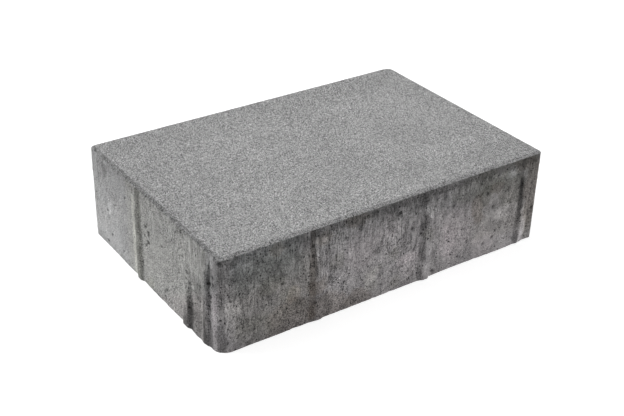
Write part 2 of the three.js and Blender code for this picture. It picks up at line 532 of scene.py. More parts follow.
# Tints: what red, green and blue are multiplied by.
PLAIN = (1.0, 1.0, 1.0)
BROWN = (1.04, 1.0, 0.955)
OLIVE = (0.995, 1.0, 0.965)
MAUVE = (1.014, 0.997, 1.004)
BLUISH = (0.985, 1.0, 1.02)
SIDE_TINT = [(1.025, 1.0, 1.005), (1.015, 1.0, 0.99), (1.02, 1.0, 0.995), (1.0, 1.0, 0.985)]

# How strongly each side is mottled, drawn upright, darkened below the arris and grained.
MOTTLED = [1.0, 0.8, 0.9, 0.5]
DRAWN = [1.0, 0.7, 1.0, 0.5]
DARK_BELOW_ARRIS = [1.0, 0.7, 0.9, 0.14]
GRAINED = [1.0, 1.0, 1.0, 1.03]

# The bevel: the tone on each side, where it gives way to the top's and how softly, and its grain.
BEVEL_TONE = [0.83, 0.80, 0.81, 0.61]
BEVEL_TONE_END = 3.1
BEVEL_TONE_FADE = 0.7
BEVEL_GRAIN = 0.8

# The dark seam below the arris, the drips that hang from it and the dull band under it: how far
# down the side they reach, how dark they are, and how softly they end. Lengths are in mm.
SEAM_REACH = 7.6
SEAM_DARKNESS = 0.46
SEAM_EDGE = 2.2
DRIP_REACH = 4.5
DULL_REACH = 27.0
DULL_DARKNESS = 0.27
DULL_EDGE = 12.0

# Painted shade in the pits: how dark a pit can get, and how fast it gets there with each mm of its
# depth.
DARKEST_PIT_SHADE = 0.70
PIT_SHADE_PER_MM = 1.7

# A lump this tall looks the same all the way up the stone.
UPRIGHT = 300

# Noises: strength, lump size in mm and seed. Those of the warps and the wobble are in mm.
WARP_ALONG = [(3.0, 9, 51), (2.2, 3.6, 52)]
WARP_UP = [(3.0, 10, 53), (2.2, 4.0, 54)]
TOP_WARP = [(8, 24, 55)]
BAND_WOBBLE = [(0.4, (2.6, 2.6, 3.4), 71)]
BAND_UNEVENNESS = [(0.45, (4, 4, 9), 72)]
CLOUDS = [(0.06, (30, 30, 34), 61), (0.08, (11, 11, 14), 62)]
LUMPS = [(0.15, (4.5, 4.5, 6), 63)]
STREAKS = [(0.10, (4, 4, 34), 64), (0.14, (1.9, 1.9, 15), 65)]
BLOTCHES = [(0.05, 36, 66), (0.05, 16, 73), (0.03, 6, 82)]
RAGGED = [(1.3, (6, 6, UPRIGHT), 67), (1.3, (1.9, 1.9, UPRIGHT), 68)]
SEAM_SWING = [(2.2, (22, 22, UPRIGHT), 74)]
DULL_SWING = [(5.0, (17, 17, UPRIGHT), 75)]
DULL_UNEVENNESS = [(0.10, (45, 45, UPRIGHT), 69)]
DRIP_UNEVENNESS = [(1.0, (9, 9, UPRIGHT), 84)]
DRAWN_UNEVENNESS = [(0.7, 26, 81)]
GRAIN_UNEVENNESS = [(0.26, (17, 17, 24), 85)]

# Islands: strength, size in mm, seed, and how strong the noise is at their edge.
LUMP_ISLANDS = [
    (-0.20, (5, 5, 7), 77, 0.25),
    (-0.26, (2.2, 2.2, 3.2), 78, 0.3),
    (0.14, (3.6, 3.6, 8), 79, 0.3),
]
STREAK_ISLANDS = [(0.24, (1.5, 1.5, 18), 80, 0.35)]
DRIPS = [(DRIP_REACH, (2.6, 2.6, UPRIGHT), 83, 0.3)]
ISLAND_SHORE = 0.25

# The top's grain gets a little stronger away from the camera: by how much for each mm, which
# way that is, and how far that way from the stone's middle the grain is left as it is.
TOP_GRAIN_RISE = 0.0010
TOWARDS_BACK = (0.58, 0.815)
TOP_GRAIN_EVEN = -8

# Stains and bare patches, and some painted shade and light beside the stub and the corner rib and
# low on the left side: side, place along it, height, half their size each way, how much lighter
# (above 1) or darker they are, and their tint.
PATCHES_AND_PAINTED_LIGHT = [
    (FRONT, 11, 68, 16, 7, 0.90, PLAIN),
    (FRONT, 18, 62, 6, 6, 0.76, PLAIN),
    (FRONT, 20, 67, 2, 2, 1.30, PLAIN),
    (FRONT, 38, 58, 12, 9, 0.80, PLAIN),
    (FRONT, 48, 54, 5, 7, 0.80, PLAIN),
    (FRONT, 58, 66, 3, 7, 0.78, PLAIN),
    (FRONT, 47, 74, 4, 5, 0.88, BROWN),
    (FRONT, 67, 64, 6, 8, 0.96, MAUVE),
    (FRONT, 42, 40, 38, 30, 0.74, OLIVE),
    (FRONT, 8, 60, 12, 13, 0.80, PLAIN),
    (FRONT, 26, 38, 10, 18, 0.82, PLAIN),
    (FRONT, 70, 17, 7, 8, 0.84, PLAIN),
    (FRONT, 54, 32, 6, 5, 0.88, OLIVE),
    (FRONT, 42, 44, 11, 5, 0.86, OLIVE),
    (FRONT, 6.6, 37.5, 6, 12, 1.44, PLAIN),
    (FRONT, 6, 38, 2.6, 6, 1.14, PLAIN),
    (FRONT, 6.4, 18, 1.4, 8, 0.85, PLAIN),
    (FRONT, -2, 42, 3.8, 11, 0.66, PLAIN),
    (FRONT, 7, 16, 3, 8, 1.13, PLAIN),
    (FRONT, 12.4, 10, 4.5, 10, 0.84, PLAIN),
    (FRONT, 9.4, 6, 2.2, 7, 0.88, PLAIN),
    (FRONT, 0.6, 14, 5.5, 11, 0.50, PLAIN),
    (FRONT, 27, 13, 14, 13, 0.88, OLIVE),
    (FRONT, 62, 0, 56, 6, 0.82, PLAIN),
    (FRONT, 82, 30, 8, 7, 0.84, BROWN),
    (FRONT, 60, 29, 5, 6, 1.08, BROWN),
    (FRONT, 56.8, 34, 1.3, 2, 1.4, PLAIN),
    (FRONT, 65, 48, 2.6, 11, 0.84, PLAIN),
    (FRONT, 45.6, 15.5, 3, 4.5, 1.32, PLAIN),
    (FRONT, 58, 12, 18, 14, 0.72, BROWN),
    (FRONT, 84, 18, 6, 12, 0.84, PLAIN),
    (FRONT, 89, 30, 7, 22, 0.87, PLAIN),
    (FRONT, 84, 68, 6, 5, 0.88, BROWN),
    (FRONT, 92, 9, 18, 10, 0.84, BROWN),
    (FRONT, 119, 5, 10, 8, 0.73, BROWN),
    (FRONT, 88, 24, 4, 4, 1.25, PLAIN),
    (FRONT, 88, 13, 4, 8, 0.80, PLAIN),
    (FRONT, 77, 41, 2, 6, 0.72, PLAIN),
    (FRONT, 71, 71, 5, 5, 0.76, PLAIN),
    (FRONT, 95, 41, 8, 12, 0.85, PLAIN),
    (FRONT, 91, 62, 9, 6, 1.20, PLAIN),
    (FRONT, 108, 61, 8, 6, 1.12, PLAIN),
    (FRONT, 99, 44, 4, 6, 0.86, OLIVE),
    (FRONT, 108, 24, 9, 9, 1.12, PLAIN),
    (FRONT, 115, 75, 12, 5, 0.84, BROWN),
    (FRONT, 141, 76, 12, 5, 0.80, PLAIN),
    (FRONT, 158, 70, 9, 7, 0.78, PLAIN),
    (FRONT, 176, 72, 10, 6, 0.84, PLAIN),
    (FRONT, 120, 50, 14, 18, 1.06, MAUVE),
    (FRONT, 131, 42, 5, 5, 0.84, PLAIN),
    (FRONT, 131, 18, 6, 8, 1.14, OLIVE),
    (FRONT, 144, 60, 9, 9, 0.98, MAUVE),
    (FRONT, 151, 34, 4, 6, 0.92, OLIVE),
    (FRONT, 152, 18, 4, 3, 0.76, PLAIN),
    (FRONT, 153, 8, 3, 6, 0.78, OLIVE),
    (FRONT, 162, 47, 5, 13, 0.71, PLAIN),
    (FRONT, 168, 36, 6, 6, 0.82, PLAIN),
    (FRONT, 160, 24, 6, 5, 1.12, MAUVE),
    (FRONT, 172, 23, 6, 5, 1.10, MAUVE),
    (FRONT, 173, 53, 5, 6, 0.76, PLAIN),
    (FRONT, 168, 41, 4, 6, 1.10, PLAIN),
    (FRONT, 174, 40, 5, 9, 0.88, PLAIN),
    (FRONT, 166, 18, 8, 11, 1.14, MAUVE),
    (FRONT, 164, 3, 6, 3, 0.80, PLAIN),
    (FRONT, 182, 61, 3, 4, 1.30, PLAIN),
    (FRONT, 184, 73, 5, 4, 0.72, PLAIN),
    (FRONT, 179, 50, 3, 6, 0.74, PLAIN),
    (FRONT, 184, 40, 4, 6, 0.72, OLIVE),
    (FRONT, 184, 17, 3, 4, 0.78, PLAIN),
    (FRONT, 179, 9, 3, 5, 1.25, PLAIN),
    (FRONT, 203, 28, 9, 14, 1.30, MAUVE),
    (FRONT, 198, 54, 8, 8, 1.14, PLAIN),
    (FRONT, 212, 30, 14, 22, 1.12, MAUVE),
    (FRONT, 230, 67, 22, 11, 0.72, OLIVE),
    (FRONT, 216, 52, 6, 5, 0.84, PLAIN),
    (FRONT, 233, 46, 6, 12, 0.76, BROWN),
    (FRONT, 242, 56, 6, 7, 0.66, OLIVE),
    (FRONT, 251, 60, 5, 4, 0.68, BROWN),
    (FRONT, 250, 43, 3, 3, 0.70, PLAIN),
    (FRONT, 258, 67, 7, 6, 0.78, OLIVE),
    (FRONT, 267, 67, 5, 5, 1.34, BLUISH),
    (FRONT, 268, 53, 12, 11, 0.66, OLIVE),
    (FRONT, 248, 34, 11, 9, 1.16, PLAIN),
    (FRONT, 263, 36, 7, 9, 1.28, PLAIN),
    (FRONT, 246, 27, 5, 4, 0.88, PLAIN),
    (FRONT, 262, 11, 16, 13, 1.24, PLAIN),
    (FRONT, 266, 4, 8, 6, 1.06, PLAIN),
    (FRONT, 274, 12, 4, 10, 0.92, PLAIN),
    (FRONT, 241, 12, 10, 12, 1.26, MAUVE),
    (FRONT, 256, 24, 10, 4, 0.80, PLAIN),
    (FRONT, 271, 30, 4, 8, 0.84, PLAIN),
    (FRONT, 279, 74, 10, 6, 0.74, BROWN),
    (FRONT, 290, 44, 8, 30, 0.59, BROWN),
    (FRONT, 278, 48, 6, 7, 0.86, PLAIN),
    (FRONT, 291, 10, 5, 9, 0.94, OLIVE),
    (FRONT, 291, 3, 5, 4, 1.24, PLAIN),
    (FRONT, 40, 39, 6, 3, 0.93, PLAIN),
    (FRONT, 25, 25, 6, 3, 1.09, PLAIN),
    (FRONT, 117, 70, 6, 3, 1.09, PLAIN),
    (LEFT, 24, 24, 24, 22, 1.12, PLAIN),
    (LEFT, 30, 20, 16, 26, 1.07, PLAIN),
    (LEFT, 96, 68, 8, 6, 1.07, PLAIN),
    (LEFT, 52, 36, 26, 9, 1.12, PLAIN),
    # Painted light thrown up from the floor onto the low part of this side.
    (LEFT, 38, 14, 40, 12, 1.10, PLAIN),
    (LEFT, 9, 42, 12, 36, 1.12, PLAIN),
    # This and the next: painted light thrown up from the floor onto the low part of this side.
    (LEFT, 34, 6, 60, 9, 1.16, PLAIN),
    (LEFT, 112, 10, 24, 16, 1.10, PLAIN),
    (LEFT, 36, 50, 34, 18, 1.08, PLAIN),
    (LEFT, 92, 26, 9, 12, 1.12, PLAIN),
    (LEFT, 95, 3, 6, 6, 0.90, OLIVE),
    (LEFT, 105, -2, 22, 4, 0.86, PLAIN),
    # Painted shadow of the stub at its foot.
    (LEFT, 160.8, 6, 1.6, 7, 0.84, PLAIN),
    (LEFT, 198, 46, 3, 17, 0.86, PLAIN),
    (LEFT, 26, 69, 4, 5, 0.74, PLAIN),
    (LEFT, 36, 31, 4, 4, 0.88, PLAIN),
    (LEFT, 23, 64, 6, 5, 0.92, PLAIN),
    (LEFT, 115, 41, 13, 10, 1.10, PLAIN),
    (LEFT, 122, 9, 6, 7, 0.90, PLAIN),
    (LEFT, 137, 20, 8, 12, 1.05, PLAIN),
    # The darker patches in the next nine lines, between 160 and 180 along, paint the shade of the stub
    # and the corner rib.
    (LEFT, 169, 40, 6, 11, 0.72, PLAIN),
    (LEFT, 169, 18, 6, 10, 0.68, PLAIN),
    (LEFT, 166, 7, 11, 9, 0.74, PLAIN),
    (LEFT, 172, 41, 9, 6, 0.80, PLAIN),
    (LEFT, 169, 29, 6, 4, 1.20, PLAIN),
    (LEFT, 160, 30, 3, 4, 0.76, PLAIN),
    (LEFT, 179.5, 28, 3, 7, 0.80, PLAIN),
    (LEFT, 153, 35, 3, 9, 0.84, PLAIN),
    (LEFT, 176, 51, 4, 14, 0.85, PLAIN),
    (LEFT, 188, 74, 5, 4, 1.12, PLAIN),
    (LEFT, 197, 74, 4, 5, 0.74, PLAIN),
    (LEFT, 190, 60, 6, 9, 0.72, PLAIN),
    (LEFT, 190, 44, 6, 9, 0.86, PLAIN),
    (LEFT, 199, 13, 5, 15, 0.60, PLAIN),
    (LEFT, 176, 72, 5, 6, 0.82, PLAIN),
    (LEFT, 191.6, 38, 2.6, 6, 1.18, PLAIN),
    (LEFT, 74, 20, 13, 4, 1.06, PLAIN),
    (LEFT, 84, 38, 6, 3, 1.06, PLAIN),
    (LEFT, 68, 5, 6, 3, 1.06, PLAIN),
    (LEFT, 142, 79, 6, 3, 1.08, PLAIN),
    (LEFT, 186, 78, 5, 3, 1.09, PLAIN),
]

# Upright bands with rounded ends, painted shade and highlight along the ribs and the stub: darker
# where the flanks turn away from the light and in the groove beside the corner rib, lighter where
# they face it, some with a tint. Their columns: side, where along it they start and end, their
# bottom and top, how much lighter or darker they are, and their tint.
RIB_SHADE_AND_LIGHT = [
    (FRONT, 74.4, 79.2, -12, 84, 0.60, BROWN),
    (FRONT, 75.4, 78.6, 46, 80, 0.82, PLAIN),
    (FRONT, 79.6, 83.4, 60, 84, 0.74, PLAIN),
    (FRONT, 175.0, 179.2, -14, 80, 0.58, PLAIN),
    (FRONT, 175.6, 180.4, 22, 54, 0.82, PLAIN),
    (FRONT, 181.2, 188.4, -12, 28, 1.20, PLAIN),
    (FRONT, 275.4, 280.2, -14, 84, 0.66, PLAIN),
    (FRONT, 276.6, 279.8, 20, 64, 0.36, PLAIN),
    (FRONT, 279.0, 284.4, -12, 36, 1.42, PLAIN),
    (FRONT, 280.6, 288.4, -10, 26, 1.34, PLAIN),
    (FRONT, 283.6, 288.8, 4, 46, 1.16, PLAIN),
    (LEFT, 76.6, 85.2, -12, 90, 0.72, OLIVE),
    (LEFT, 77.0, 84.6, 8, 70, 0.90, PLAIN),
    (LEFT, 81.0, 84.4, 21, 53, 0.82, PLAIN),
    (LEFT, 81.0, 85.4, -16, 8, 0.82, PLAIN),
    (LEFT, 181.0, 184.0, 34, 60, 0.84, PLAIN),
    (LEFT, 76.8, 83.6, 54, 92, 0.80, PLAIN),
    (LEFT, 69.8, 75.4, -4, 70, 1.42, OLIVE),
    (LEFT, 155.0, 159.6, -12, 58, 0.72, PLAIN),
    (LEFT, 155.8, 161.4, -10, 30, 0.46, PLAIN),
    (LEFT, 157.6, 162.4, -8, 26, 0.66, PLAIN),
    (LEFT, 154.6, 160.2, 14, 38, 0.88, PLAIN),
    (LEFT, 147.8, 155.0, -14, 20, 0.60, PLAIN),
    (LEFT, 150.4, 156.4, -14, 9, 0.62, PLAIN),
    (LEFT, 149.0, 152.6, 16, 48, 1.08, PLAIN),
    (LEFT, 179.6, 187.2, -14, 60, 0.84, PLAIN),
    (LEFT, 180.0, 187.4, 49, 78, 0.72, PLAIN),
    (LEFT, 177.4, 187.0, -14, 42, 0.80, PLAIN),
    (LEFT, 178.0, 189.0, -14, 26, 0.62, PLAIN),
    (LEFT, 188.6, 196.0, 32, 82, 0.88, MAUVE),
    (LEFT, 176.0, 182.0, -12, 24, 0.70, PLAIN),
    (LEFT, 184.0, 186.8, 28, 74, 0.50, PLAIN),
    (LEFT, 172.6, 176.4, 0, 48, 1.12, PLAIN),
    (LEFT, 189.0, 194.0, 8, 40, 1.04, MAUVE),
]
# How long the rounded ends of a band are, how soft its edges, and how far beside it points are
# still looked at, in mm.
BAND_END = 12.0
BAND_EDGE = 0.9
BAND_MARGIN = 4

# Painted shade and highlight at each rib of the two far sides, darker on the flank before the rib
# and lighter on the flank after it: start and end from the rib's place, bottom and top, and how
# much lighter or darker they are.
HIDDEN_RIB_SHADE_AND_LIGHT = [(-7.0, -2.4, -12, 70, 0.66), (0.4, 4.4, -4, 40, 1.14)]

# Where a stain ends and how soft its edge is, and where a worn patch ends, in half-sizes.
STAIN_END = 1.25
STAIN_EDGE = 0.5
WORN_END = 1.5

# Worn patches of the top: x, y, half their size each way, and how much lighter or darker they are.
WORN_PATCHES = [
    (0, 84, 200, 20, 0.92),
    (124, -84, 36, 22, 0.87),
    (-124, 10, 30, 95, 0.945),
    (-16, -92, 52, 12, 1.05),
    (128, 30, 30, 60, 0.97),
]


def hidden_rib_shade_and_light():
    """The same painted shade and highlight at the ribs of the two far sides."""
    bands = []
    for side in (BACK, RIGHT):
        for place in rib_places(side):
            for start, end, *rest in HIDDEN_RIB_SHADE_AND_LIGHT:
                bands.append((side, place + start, place + end, *rest, PLAIN))
    return bands


def paint_rib_shade_and_light(skin, tone, tint):
    """Paints the upright bands of shade and highlight along the ribs and the stub on the walls."""
    wobble = rib_wobble(skin.place) + layered(skin.place, BAND_WOBBLE)
    uneven = 1 + layered(skin.place, BAND_UNEVENNESS)
    for side, start, end, bottom, top, lighter, colour in RIB_SHADE_AND_LIGHT + hidden_rib_shade_and_light():
        middle, half = (start + end) / 2, (end - start) / 2
        beside = np.abs(skin.along - middle) < half + BAND_MARGIN
        here = np.flatnonzero((skin.side == side) & beside)
        across = (skin.along[here] + wobble[here] - middle) / half
        past_end = np.maximum(skin.z[here] - top + BAND_END, bottom + BAND_END - skin.z[here])
        beyond = np.maximum(past_end, 0) / BAND_END
        share = smooth_step(0.5 + (1 - np.hypot(across, beyond)) * half / BAND_EDGE)
        share *= skin.on_wall[here]
        tone[here] *= lighter ** (share * uneven[here])
        tint[here] *= np.asarray(colour) ** share[:, None]


def patches_and_painted_light(skin, tone, tint):
    """Puts the stains and bare patches on the walls, and the painted shade and light listed with them.
    """
    warp_along = layered(skin.place, WARP_ALONG)
    warp_up = layered(skin.place, WARP_UP)
    for side, along, height, half_along, half_height, lighter, colour in PATCHES_AND_PAINTED_LIGHT:
        here = np.flatnonzero(skin.side == side)
        across = (skin.along[here] + warp_along[here] - along) / (half_along + 1)
        up = (skin.z[here] + warp_up[here] - height) / (half_height + 1)
        share = smooth_step((STAIN_END - np.hypot(across, up)) / STAIN_EDGE)
        share *= skin.on_wall[here]
        tone[here] *= lighter**share
        tint[here] *= np.asarray(colour) ** share[:, None]


def worn_top(place):
    """How much lighter or darker the top's worn patches are."""
    tone = np.ones(len(place))
    warp = layered(place, TOP_WARP)
    for x, y, half_x, half_y, lighter in WORN_PATCHES:
        apart = np.hypot((place[:, 0] + warp - x) / half_x, (place[:, 1] + warp - y) / half_y)
        tone *= lighter ** smooth_step(WORN_END - apart)
    return tone


def islands(points, layers):
    """The sum of several sets of patches with fairly sharp edges."""
    return sum(
        strength * smooth_step((noise(points, size, seed) - edge) / ISLAND_SHORE)
        for strength, size, seed, edge in layers
    )


def right_end(skin):
    """1 on the right third of the front, which is smoother than the rest, and 0 elsewhere."""
    return (skin.side == FRONT) * smooth_step((skin.along - 178) / 20)


def near_end(skin):
    """1 on the left side's end at the near corner, which is streaked more, and 0 elsewhere."""
    return (skin.side == LEFT) * smooth_step((skin.along - 142) / 16)


def drawn_upright(skin):
    """How strongly each point is streaked: the mould's sides draw the concrete upwards."""
    higher = smooth_step((skin.z - 12) / 34)
    strength = by_side(skin, DRAWN) * (1 - 0.35 * right_end(skin) + 0.4 * near_end(skin))
    strength *= 0.45 + 0.55 * higher
    return strength * (0.85 + layered(skin.place, DRAWN_UNEVENNESS))


def drift_of_hue(skin):
    """The slow drift of hue over the two visible walls, as a tint."""
    front = skin.side == FRONT
    left = skin.side == LEFT
    mauve = front * smooth_step((64 - skin.z) / 12)
    green = front * smooth_step((skin.z - 40) / 12)
    green *= smooth_step((34 - np.abs(skin.along - 39)) / 10)
    sallow = front * smooth_step((skin.along - 222) / 16) * smooth_step((skin.z - 10) / 10)
    yellow = left * smooth_step((skin.along - 58) / 8)
    rusty = left * smooth_step((0.6 * (skin.along - 100) - skin.z) / 10)
    corner = left * smooth_step((skin.along - 178) / 8)
    red = 1 + 0.020 * mauve - 0.036 * green + 0.040 * rusty
    blue = 1 + 0.008 * mauve - 0.026 * sallow + 0.018 * left - 0.034 * yellow + 0.012 * rusty
    return np.column_stack([red, np.ones(len(skin.z)), blue + 0.036 * corner])


def mottling(skin):
    """The walls' clouds, lumps and streaks: how much lighter or darker, as a logarithm."""
    lumps = layered(skin.place, LUMPS) + islands(skin.place, LUMP_ISLANDS) + 0.06
    lumps *= 1 - 0.35 * np.maximum(right_end(skin), skin.side == LEFT)
    cloud = (layered(skin.place, CLOUDS) + lumps) * by_side(skin, MOTTLED)
    streak = layered(skin.place, STREAKS) + islands(skin.place, STREAK_ISLANDS)
    return cloud + streak * drawn_upright(skin)


def blotches(skin):
    """The top's faint blotches and the underside's stronger ones, as a logarithm."""
    return layered(skin.place, BLOTCHES) * np.where(skin.side == UNDERSIDE, 2.2, 1)


def below_arris(skin):
    """What the dark seam, its drips and the dull band leave of each point's tone."""
    ragged = layered(skin.place, RAGGED)
    narrow = SEAM_REACH + 1.2 * ragged + layered(skin.place, SEAM_SWING)
    wide = DULL_REACH + 2.5 * ragged + layered(skin.place, DULL_SWING)
    drips = islands(skin.place, DRIPS) * (1 + layered(skin.place, DRIP_UNEVENNESS))
    below = HEIGHT - BEVEL_DEPTH - skin.z
    dark = SEAM_DARKNESS * smooth_step((narrow + drips - below) / SEAM_EDGE)
    dull = DULL_DARKNESS + layered(skin.place, DULL_UNEVENNESS)
    dull *= smooth_step((wide - below) / DULL_EDGE)
    weight = by_side(skin, DARK_BELOW_ARRIS) * skin.on_wall
    return (1 - dark * weight) * (1 - dull * weight)


def wall_tints(skin):
    """The tint of each point, apart from the stains and bands."""
    tint = np.ones((len(skin.z), 3))
    for side in range(4):
        tint[skin.on_wall & (skin.side == side)] = SIDE_TINT[side]
    hue = noise(skin.place, (26, 26, 22), 70)[:, None]
    drift = (1 + hue * np.array([0.006, 0.0, -0.006])) * drift_of_hue(skin)
    tint[skin.on_wall] *= drift[skin.on_wall]
    return tint


def share_of_grain(skin, tone):
    """How strong the material's grain is at each point. It is stronger where the concrete is
    dark, on the foot of the front and on the middle of the left side."""
    grain = by_side(skin, GRAINED) * np.clip(tone, 0.4, 1.4) ** -0.3
    grain *= 1 + layered(skin.place, GRAIN_UNEVENNESS)
    low = smooth_step((50 - skin.z) / 20)
    coarser = 0.20 + smooth_step((skin.along - 66) / 26) * (0.28 + 0.28 * low)
    grain *= 1 + (skin.side == LEFT) * coarser * (1 - (0.9 - 0.5 * low) * near_end(skin))
    rough = low * smooth_step((skin.along - 44) / 12) * smooth_step((184 - skin.along) / 12)
    smooth = (1 - low) * right_end(skin)
    grain *= 1 + (skin.side == FRONT) * 0.30 * rough - 0.06 * smooth
    grain[skin.on_bevel] = BEVEL_GRAIN
    grain[~skin.on_side] = 1.0
    top = skin.side == TOP
    grain[top] += TOP_GRAIN_RISE * (skin.place[top, :2] @ TOWARDS_BACK - TOP_GRAIN_EVEN)
    return grain


def colours(skin, pit):
    """What each point multiplies the material's colour by, and its share of the grain."""
    tone = np.exp(np.where(skin.on_wall, mottling(skin), blotches(skin)))
    tone *= np.where(skin.side == TOP, worn_top(skin.place), 1)
    tone *= below_arris(skin)
    # Painted shade in the pits, the darker the deeper they are.
    tone *= 1 - DARKEST_PIT_SHADE * np.minimum(PIT_SHADE_PER_MM * pit, 1.0)
    on_bevel = skin.on_bevel * smooth_step((BEVEL_TONE_END - skin.inset) / BEVEL_TONE_FADE)
    tone *= np.where(skin.on_bevel, by_side(skin, BEVEL_TONE), 1) ** on_bevel
    tint = wall_tints(skin)
    patches_and_painted_light(skin, tone, tint)
    paint_rib_shade_and_light(skin, tone, tint)
    return np.column_stack([tint * tone[:, None], share_of_grain(skin, tone)])


def linked(name, data):
    """A new object in the scene."""
    thing = bpy.data.objects.new(name, data)
    bpy.context.scene.collection.objects.link(thing)
    return thing


def make_stone():
    """The stone's skin, with what its material reads at each point."""
    skin = build_skin()
    place, pit = roughened(skin)
    mesh = bpy.data.meshes.new("stone_skin")
    mesh.from_pydata((place * MM).tolist(), [], skin.faces)
    mesh.shade_smooth()
    # This colour holds the stains, and also the painted shade of the pits, ribs and stub and the painted
    # light low on the left side.
    stain_and_shade = mesh.attributes.new("stain_and_shade", "FLOAT_COLOR", "POINT")
    stain_and_shade.data.foreach_set("color", colours(skin, pit).ravel())
    facing_up = (skin.side == TOP) | skin.on_bevel
    for name, values in (("wearing", facing_up.astype(float)), ("drawn", drawn_upright(skin))):
        mesh.attributes.new(name, "FLOAT", "POINT").data.foreach_set("value", values)
    return linked("stone_skin", mesh)


# ---------------------------------------------------------------- material


def grey(value):
    """An even grey, as a colour."""
    return (value, value, value, 1)


WHITE = grey(1)
SIDE_GREY = 0.33
WEARING_GREY = 0.36
BUMP_OF_GRAIN = 0.06
BUMP_OF_HOLES = -0.6

# Round spots of the sides: their spacing and largest radius in mm, and a shift that gives each
# set places of its own.
SMALL_HOLES = (2.4, 0.92, (3.1, 7.7, 1.3))
LARGE_HOLES = (6.0, 1.15, (9.2, 2.4, 5.8))
PALE_SPOTS = (4.2, 1.0, (5.3, 1.9, 8.4))


class Recipe:
    """Adds nodes to a material. A socket's value is a number, a colour or another's output."""

    def __init__(self, material):
        material.use_nodes = True
        self.tree = material.node_tree

    def add(self, kind, inputs, **settings):
        """A new node with those settings and inputs."""
        node = self.tree.nodes.new(kind)
        for name, value in settings.items():
            setattr(node, name, value)
        self.connect(node, inputs)
        return node

    def connect(self, node, inputs):
        for name, value in inputs.items():
            if isinstance(value, bpy.types.NodeSocket):
                self.tree.links.new(value, node.inputs[name])
            else:
                node.inputs[name].default_value = value

    def math(self, operation, first, second=0.0, clamp=False):
        inputs = {0: first, 1: second}
        return self.add("ShaderNodeMath", inputs, operation=operation, use_clamp=clamp).outputs[0]

    def carried(self, name):
        """What the mesh's points carry by that name."""
        return self.add("ShaderNodeAttribute", {}, attribute_name=name).outputs

    def stretched(self, vector, scale):
        inputs = {0: vector, 1: scale}
        return self.add("ShaderNodeVectorMath", inputs, operation="MULTIPLY").outputs[0]

    def noise(self, vector, size, detail=2.0, roughness=0.5):
        """Noise about 0, with lumps of that size in mm."""
        inputs = {"Vector": vector, "Scale": 1 / size, "Detail": detail, "Roughness": roughness}
        return self.math("SUBTRACT", self.add("ShaderNodeTexNoise", inputs).outputs[0], 0.5)

    def weighted(self, *terms):
        """The sum of some outputs, each times its weight."""
        total = 0.0
        for output, weight in terms:
            total = self.add(
                "ShaderNodeMath", {0: output, 1: weight, 2: total}, operation="MULTIPLY_ADD"
            ).outputs[0]
        return total

    def blend(self, factor, first, second):
        inputs = {0: factor, 2: first, 3: second}
        return self.add("ShaderNodeMix", inputs, data_type="FLOAT").outputs[0]

    def blend_colours(self, factor, first, second, way="MIX"):
        inputs = {0: factor, 6: first, 7: second}
        return self.add("ShaderNodeMix", inputs, data_type="RGBA", blend_type=way).outputs[2]


def specks(recipe, vector, size):
    """Grains of that size in mm, each with a number from -0.5 to 0.5 of its own."""
    cells = recipe.add("ShaderNodeTexVoronoi", {"Vector": vector, "Scale": 1 / size})
    chance = recipe.add("ShaderNodeSeparateColor", {0: cells.outputs["Color"]}).outputs[0]
    return recipe.math("SUBTRACT", chance, 0.5)


def round_spots(recipe, vector, spacing, radius, shift):
    """Round spots of mixed sizes, 1 in a spot's middle and 0 outside."""
    moved = recipe.add("ShaderNodeVectorMath", {0: vector, 1: shift}, operation="ADD").outputs[0]
    cells = recipe.add("ShaderNodeTexVoronoi", {"Vector": moved, "Scale": 1 / spacing})
    chance = recipe.add("ShaderNodeSeparateColor", {0: cells.outputs["Color"]}).outputs[0]
    reach = recipe.math("MULTIPLY", recipe.math("SUBTRACT", chance, 0.45), 1.8 * radius / spacing)
    depth = recipe.math("SUBTRACT", reach, cells.outputs["Distance"])
    return recipe.math("MULTIPLY", depth, spacing / (0.5 * radius), clamp=True)


